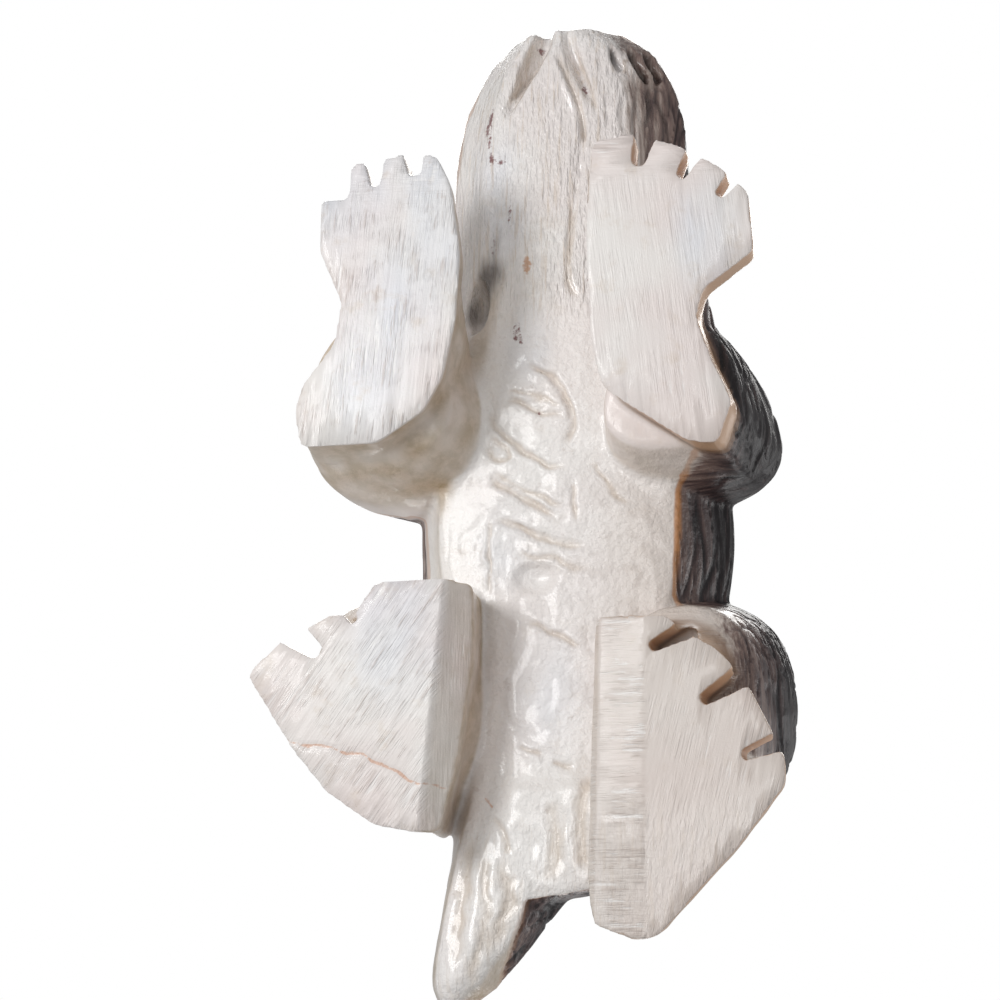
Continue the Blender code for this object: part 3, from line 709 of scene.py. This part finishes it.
class Shader:
    """Adds nodes to one material and joins them by their values."""

    def __init__(self, tree):
        self.tree = tree

    def node(self, kind, inputs=None, **settings):
        """A node with its settings, and inputs that are values or other nodes' outputs."""
        made = self.tree.nodes.new(kind)
        for name, value in settings.items():
            setattr(made, name, value)
        for name, value in (inputs or {}).items():
            self.feed(made.inputs[name], value)
        return made

    def feed(self, socket, value):
        """Joins an output to a socket, or sets the socket's own value."""
        if isinstance(value, bpy.types.NodeSocket):
            self.tree.links.new(value, socket)
        else:
            socket.default_value = value

    def mask(self, name):
        """One of the mesh's finish masks."""
        return self.node("ShaderNodeAttribute", attribute_name=name).outputs["Fac"]

    def noise(self, vector, scale, detail=2.0, roughness=0.5):
        """Noise values at a vector."""
        inputs = {"Vector": vector, "Scale": scale, "Detail": detail, "Roughness": roughness}
        return self.node("ShaderNodeTexNoise", inputs).outputs["Fac"]

    def stretched(self, vector, scale):
        """A vector scaled along each axis."""
        return self.node("ShaderNodeMapping", {"Vector": vector, "Scale": scale}).outputs["Vector"]

    def math(self, operation, first, second):
        """Arithmetic on two values."""
        return self.node("ShaderNodeMath", {0: first, 1: second}, operation=operation).outputs[0]

    def product(self, *values):
        """Several values multiplied."""
        result = values[0]
        for value in values[1:]:
            result = self.math("MULTIPLY", result, value)
        return result

    def total(self, *values):
        """Several values added."""
        result = values[0]
        for value in values[1:]:
            result = self.math("ADD", result, value)
        return result

    def between(self, value, low, high, start=0.0, end=1.0):
        """A value's place between low and high, read smoothly between start and end."""
        inputs = {"Value": value, "From Min": low, "From Max": high, "To Min": start, "To Max": end}
        return self.node("ShaderNodeMapRange", inputs, interpolation_type="SMOOTHSTEP").outputs["Result"]

    def blend(self, share, first, second):
        """Two colours mixed by a share."""
        mix = self.node("ShaderNodeMix", data_type="RGBA")
        self.feed(mix.inputs[0], share)
        self.feed(mix.inputs[6], first)
        self.feed(mix.inputs[7], second)
        return mix.outputs[2]


def file_marks(shader, place):
    """Strokes of the file in every direction that it took, about 0 in the middle, and where they are."""
    worn = shader.between(shader.noise(place, 330.0, 4.0, 0.6), 0.42, 0.60, 1.15, 0.25)
    total = 0.0
    share = 0.0
    for mask_name, degrees, pitch, strength in FILE_STROKES:
        turn = (0.0, 0.0, -math.radians(degrees))
        turned = shader.node("ShaderNodeMapping", {"Vector": place, "Rotation": turn}).outputs["Vector"]
        frequency = 1.0 / (pitch * MM)
        scale = (STROKE_LENGTHENING * frequency, frequency, STROKE_DEPTH_SCALE)
        drawn = shader.noise(shader.stretched(turned, scale), 1.0, 3.0, 0.8)
        stroke = shader.product(shader.math("SUBTRACT", drawn, 0.5), 1.3)
        mask = shader.mask(mask_name)
        total = shader.total(total, shader.product(stroke, shader.product(mask, strength), worn))
        share = shader.math("MAXIMUM", share, mask)
    return total, share


def along_grain(shader, place, crosswise, pitch, length, detail=3.0):
    """Fibres that run along the body, and level ones on the walls that face along it."""
    across = 1.0 / (pitch * MM)
    along = 1.0 / (length * MM)
    lengthwise = shader.noise(shader.stretched(place, (across, along, across)), 1.0, detail, 0.6)
    level = shader.noise(shader.stretched(place, (along, across, across)), 1.0, detail, 0.6)
    return shader.total(lengthwise, shader.product(shader.math("SUBTRACT", level, lengthwise), crosswise))


def core_colour(shader, place, fibres, scratches):
    """Cream with pink and bluish clouds, light brown veins, walls and carved lines, with painted light on
    the belly, the throat and the white strokes and painted shade on the walls, along the carved lines and
    towards the animal's left hind.
    """
    belly = shader.mask("belly")
    strand = shader.mask("strand")
    cloud = shader.noise(place, 95.0, 3.0)
    blotch = shader.noise(place, 420.0, 5.0, 0.62)
    vein = shader.noise(place, 700.0, 6.0, 0.7)
    rough = shader.noise(place, 850.0, 4.0, 0.65)
    wall = shader.blend(shader.between(rough, 0.38, 0.62), screen(TAN_AND_SHADE), screen(OLIVE_TAN_AND_SHADE))
    core = shader.blend(shader.between(cloud, 0.35, 0.65), screen(CREAM), screen(PINK_CREAM))
    layers = (
        (shader.product(shader.mask("blue"), 0.65), screen(BLUE_CREAM)),
        (shader.between(blotch, 0.54, 0.74, 0.0, 0.30), screen(TAN_AND_SHADE)),
        # Painted light: belly and throat blended towards white, partly their whiter cream, partly light
        # their deeper place gets too little of
        (shader.product(belly, 0.50), screen(WHITE_SCRATCH_AND_PAINTED_LIGHT)),
        (shader.product(strand, 0.35), screen(WHITE_SCRATCH_AND_PAINTED_LIGHT)),
        # Partly painted shade: warmer and darker towards the animal's left hind
        (shader.product(shader.mask("warm_and_shade"), 0.62), screen(WARM_CREAM_AND_SHADE)),
        (shader.product(shader.between(vein, 0.60, 0.68), belly, 0.30), screen(GREY_BEIGE)),
        (shader.product(shader.between(fibres, 0.52, 0.66), strand, 0.38), screen(TAN_AND_SHADE)),
        (shader.between(scratches, 0.06, 0.22, 0.0, 0.42), screen(GREY_BEIGE)),
        # Partly painted highlights: the low parts of the file strokes turned near-white, partly real scratch
        # colour
        (shader.between(scratches, -0.06, -0.20, 0.0, 0.55), screen(WHITE_SCRATCH_AND_PAINTED_LIGHT)),
        # Partly painted shade: walls between soles and body darker, strongest on the animal's right
        (shader.product(shader.mask("tan_and_shade"), 0.85), wall),
        # Painted shade: the carved lines of the underside darkened to light brown
        (shader.product(shader.mask("line_shade"), 0.45), screen(TAN_AND_SHADE)),
    )
    for share, colour in layers:
        core = shader.blend(share, core, colour)
    return core


def rind_colour(shader, fibres, core):
    """The core's colour turned through caramel and grey-brown to nearly black, in streaks, with painted
    shade in the rind's furrows and in the face's grooves.
    """
    streak = shader.math("SUBTRACT", fibres, 0.5)
    share = shader.between(shader.total(shader.mask("rind_share"), shader.product(streak, 1.5)), 0.0, 1.0)
    tone = shader.total(shader.mask("rind_tone"), shader.product(streak, 1.1))
    # Painted shade: the rind a little darker in its furrows
    tone = shader.total(tone, shader.product(shader.mask("rib"), 0.30))
    bark = shader.node("ShaderNodeValToRGB", {"Fac": tone})
    ramp = bark.color_ramp
    ramp.elements[0].position = 0.02
    ramp.elements[0].color = screen(GREY_BEIGE)
    ramp.elements[1].position = 1.0
    ramp.elements[1].color = screen(BLACK_RIND_AND_SHADE)
    for position, colour in ((0.35, GREY_BROWN), (0.68, DARK_RIND)):
        ramp.elements.new(position).color = screen(colour)
    colour = shader.blend(share, core, bark.outputs["Color"])
    past = shader.mask("rind_past")
    border = shader.product(shader.between(past, -0.25, 0.0), shader.between(past, 0.25, 0.7, 1.0, 0.0))
    border = shader.product(border, shader.mask("rim"), 0.85)
    colour = shader.blend(border, colour, screen(CARAMEL))
    # Painted shade: the face's grooves turned nearly black
    return shader.blend(shader.product(shader.mask("cut_shade"), 0.85), colour, screen(BLACK_RIND_AND_SHADE))


def wall_colour(shader, place, colour):
    """Foot walls on the animal's left: caramel beside the sole, brown further up."""
    height = shader.node("ShaderNodeSeparateXYZ", {"Vector": place}).outputs["Z"]
    wall = shader.mask("foot_wall")
    caramel = shader.product(shader.between(height, -0.05 * MM, 0.25 * MM), wall, 0.75)
    brown = shader.product(shader.between(height, 1.7 * MM, 3.4 * MM), wall, 0.85)
    colour = shader.blend(caramel, colour, screen(LIGHT_CARAMEL))
    return shader.blend(brown, colour, screen(DARK_RIND))


def marked_colour(shader, place, colour):
    """The old crack, the red-brown specks, the orange spot and the painted shade in the armpit."""
    ragged = shader.math("SUBTRACT", shader.noise(place, 3200.0, 3.0, 0.6), 0.5)
    crack = shader.total(shader.mask("crack"), shader.product(ragged, 0.12))
    speck = shader.total(shader.mask("speck"), shader.product(ragged, 1.1))
    spot = shader.total(shader.mask("orange"), shader.product(ragged, 0.8))
    layers = (
        (shader.between(crack, 0.04, 0.15, 0.7, 0.0), CRACK_EDGE),
        (shader.between(speck, 0.44, 0.74, 0.0, 0.85), SPECK),
        (shader.between(spot, 0.42, 0.72, 0.0, 0.75), CARAMEL),
        # Painted shade in the right armpit's recess and towards the chin
        (shader.product(shader.mask("armpit_shade"), 0.85), ARMPIT_SHADE),
    )
    for share, mark in layers:
        colour = shader.blend(share, colour, screen(mark))
    return colour


def relief_height(shader, place, fibres, scratches, rind):
    """Fine relief below the mesh: strands, file strokes, ribs, worn lumps and grain."""
    strand = shader.mask("strand")
    fine_fibres = shader.noise(shader.stretched(place, (6500.0, 900.0, 6500.0)), 1.0, 2.0)
    wrinkle = shader.noise(shader.stretched(place, (2300.0, 700.0, 2300.0)), 1.0, 3.0, 0.6)
    worn = shader.noise(place, 1500.0, 4.0, 0.6)
    grain = shader.noise(place, 5200.0, 2.0)
    return shader.total(
        shader.product(fibres, strand),
        shader.product(wrinkle, shader.product(strand, 3.4)),
        shader.product(fine_fibres, shader.product(strand, 0.3)),
        shader.product(worn, shader.product(shader.mask("belly"), 2.0)),
        shader.product(scratches, 1.5),
        shader.product(fibres, shader.product(rind, 1.2)),
        shader.product(grain, 0.12),
    )


def antler_material():
    """Cream core that turns caramel, grey-brown and nearly black towards the rind."""
    material = bpy.data.materials.new("antler_core_and_rind")
    material.use_nodes = True
    tree = material.node_tree
    shader = Shader(tree)
    surface = tree.nodes["Principled BSDF"]
    place = shader.node("ShaderNodeTexCoord").outputs["Object"]
    strand = shader.mask("strand")
    rind = shader.product(shader.between(shader.mask("rind_share"), 0.0, 1.0), shader.mask("rind_tone"))
    fibres = along_grain(shader, place, shader.mask("crosswise"), FIBRE_PITCH, FIBRE_LENGTH)
    scratches, filed_share = file_marks(shader, place)

    colour = core_colour(shader, place, fibres, scratches)
    colour = rind_colour(shader, fibres, colour)
    colour = wall_colour(shader, place, colour)
    colour = marked_colour(shader, place, colour)
    shader.feed(surface.inputs["Base Color"], colour)

    dull = shader.total(
        DULLNESS,
        shader.product(shader.noise(place, 600.0, 4.0, 0.6), 0.20),
        shader.product(filed_share, 0.03),
        shader.product(rind, 0.14),
    )
    dull = shader.math("SUBTRACT", dull, shader.product(strand, 0.14))
    shader.feed(surface.inputs["Roughness"], dull)
    gloss = shader.total(shader.product(strand, 0.54), shader.product(shader.mask("belly"), 0.16))
    gloss = shader.total(GLOSS, gloss)
    shader.feed(surface.inputs["Coat Weight"], shader.math("SUBTRACT", gloss, shader.product(rind, 0.16)))
    surface.inputs["Coat Roughness"].default_value = GLOSS_ROUGHNESS
    surface.inputs["Specular IOR Level"].default_value = SPECULAR_LEVEL

    height = relief_height(shader, place, fibres, scratches, rind)
    bump = shader.node("ShaderNodeBump", {"Height": height, "Strength": 1.0, "Distance": BUMP_DEPTH})
    shader.feed(surface.inputs["Normal"], bump.outputs["Normal"])
    return material


def make_floor():
    """A pale floor that is seen from above and lets the view from below through."""
    shape = bmesh.new()
    bmesh.ops.create_grid(shape, x_segments=1, y_segments=1, size=FLOOR_SIZE)
    bmesh.ops.translate(shape, verts=shape.verts, vec=(0.0, 0.0, -FLOOR_GAP))
    mesh = bpy.data.meshes.new("floor")
    shape.to_mesh(mesh)
    shape.free()
    floor = bpy.data.objects.new("floor", mesh)
    bpy.context.scene.collection.objects.link(floor)
    material = bpy.data.materials.new("pale_floor")
    material.use_nodes = True
    shader = Shader(material.node_tree)
    path = shader.node("ShaderNodeLightPath")
    back = shader.node("ShaderNodeNewGeometry").outputs["Backfacing"]
    front = shader.math("SUBTRACT", 1.0, back)
    seen = shader.math("MULTIPLY", path.outputs["Is Camera Ray"], front)
    clear = shader.node("ShaderNodeBsdfTransparent").outputs["BSDF"]
    paint = material.node_tree.nodes["Principled BSDF"]
    paint.inputs["Base Color"].default_value = FLOOR_COLOUR
    paint.inputs["Roughness"].default_value = FLOOR_ROUGHNESS
    mix = shader.node("ShaderNodeMixShader", {0: seen, 1: clear, 2: paint.outputs["BSDF"]})
    shader.feed(material.node_tree.nodes["Material Output"].inputs["Surface"], mix.outputs[0])
    mesh.materials.append(material)


def add_lamp(name, place, size, power, colour):
    """A soft square lamp that faces the carving."""
    lamp = bpy.data.lights.new(name, "AREA")
    lamp.size = size
    lamp.energy = power
    lamp.color = colour
    holder = bpy.data.objects.new(name, lamp)
    holder.location = place
    aim = Vector(LAMP_AIM) - holder.location
    holder.rotation_euler = aim.to_track_quat("-Z", "Y").to_euler()
    bpy.context.scene.collection.objects.link(holder)


def make_light():
    """Soft studio light from both sides of the floor, and a white surround."""
    for lamp in LAMPS:
        add_lamp(*lamp)
    world = bpy.data.worlds.new("surround")
    world.use_nodes = True
    bpy.context.scene.world = world
    shader = Shader(world.node_tree)
    ground = world.node_tree.nodes["Background"]
    ground.inputs["Color"].default_value = (1.0, 1.0, 1.0, 1.0)
    path = shader.node("ShaderNodeLightPath")
    levels = {"Value": path.outputs["Is Camera Ray"], "To Min": SURROUND_LIGHT, "To Max": SURROUND_SEEN}
    strength = shader.node("ShaderNodeMapRange", levels)
    shader.feed(ground.inputs["Strength"], strength.outputs["Result"])


def make_camera():
    """A camera at the photograph's angle and framing."""
    away = Vector((VIEW_TAN_X, VIEW_TAN_Y, -1.0)).normalized()
    right = (-away).cross(Vector((0.0, -1.0, 0.0))).normalized()
    up = right.cross(-away)
    turn = Matrix((right, up, away)).transposed().to_4x4()
    lens = bpy.data.cameras.new("camera")
    lens.sensor_width = SENSOR
    lens.lens = SENSOR * VIEW_DISTANCE / (PIXEL * PICTURE)
    lens.clip_start = 1 * MM
    lens.shift_x = (PICTURE / 2 - AIM_PIXEL[0]) / PICTURE
    lens.shift_y = (AIM_PIXEL[1] - PICTURE / 2) / PICTURE
    camera = bpy.data.objects.new("camera", lens)
    camera.matrix_world = Matrix.Translation(Vector(DRAWING_ZERO) + VIEW_DISTANCE * away) @ turn
    bpy.context.scene.collection.objects.link(camera)
    bpy.context.scene.camera = camera


carving = make_carving()
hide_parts("reptile_carving")
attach(carving, "root")
make_floor()
make_light()
make_camera()
bpy.context.scene.view_settings.view_transform = "Standard"
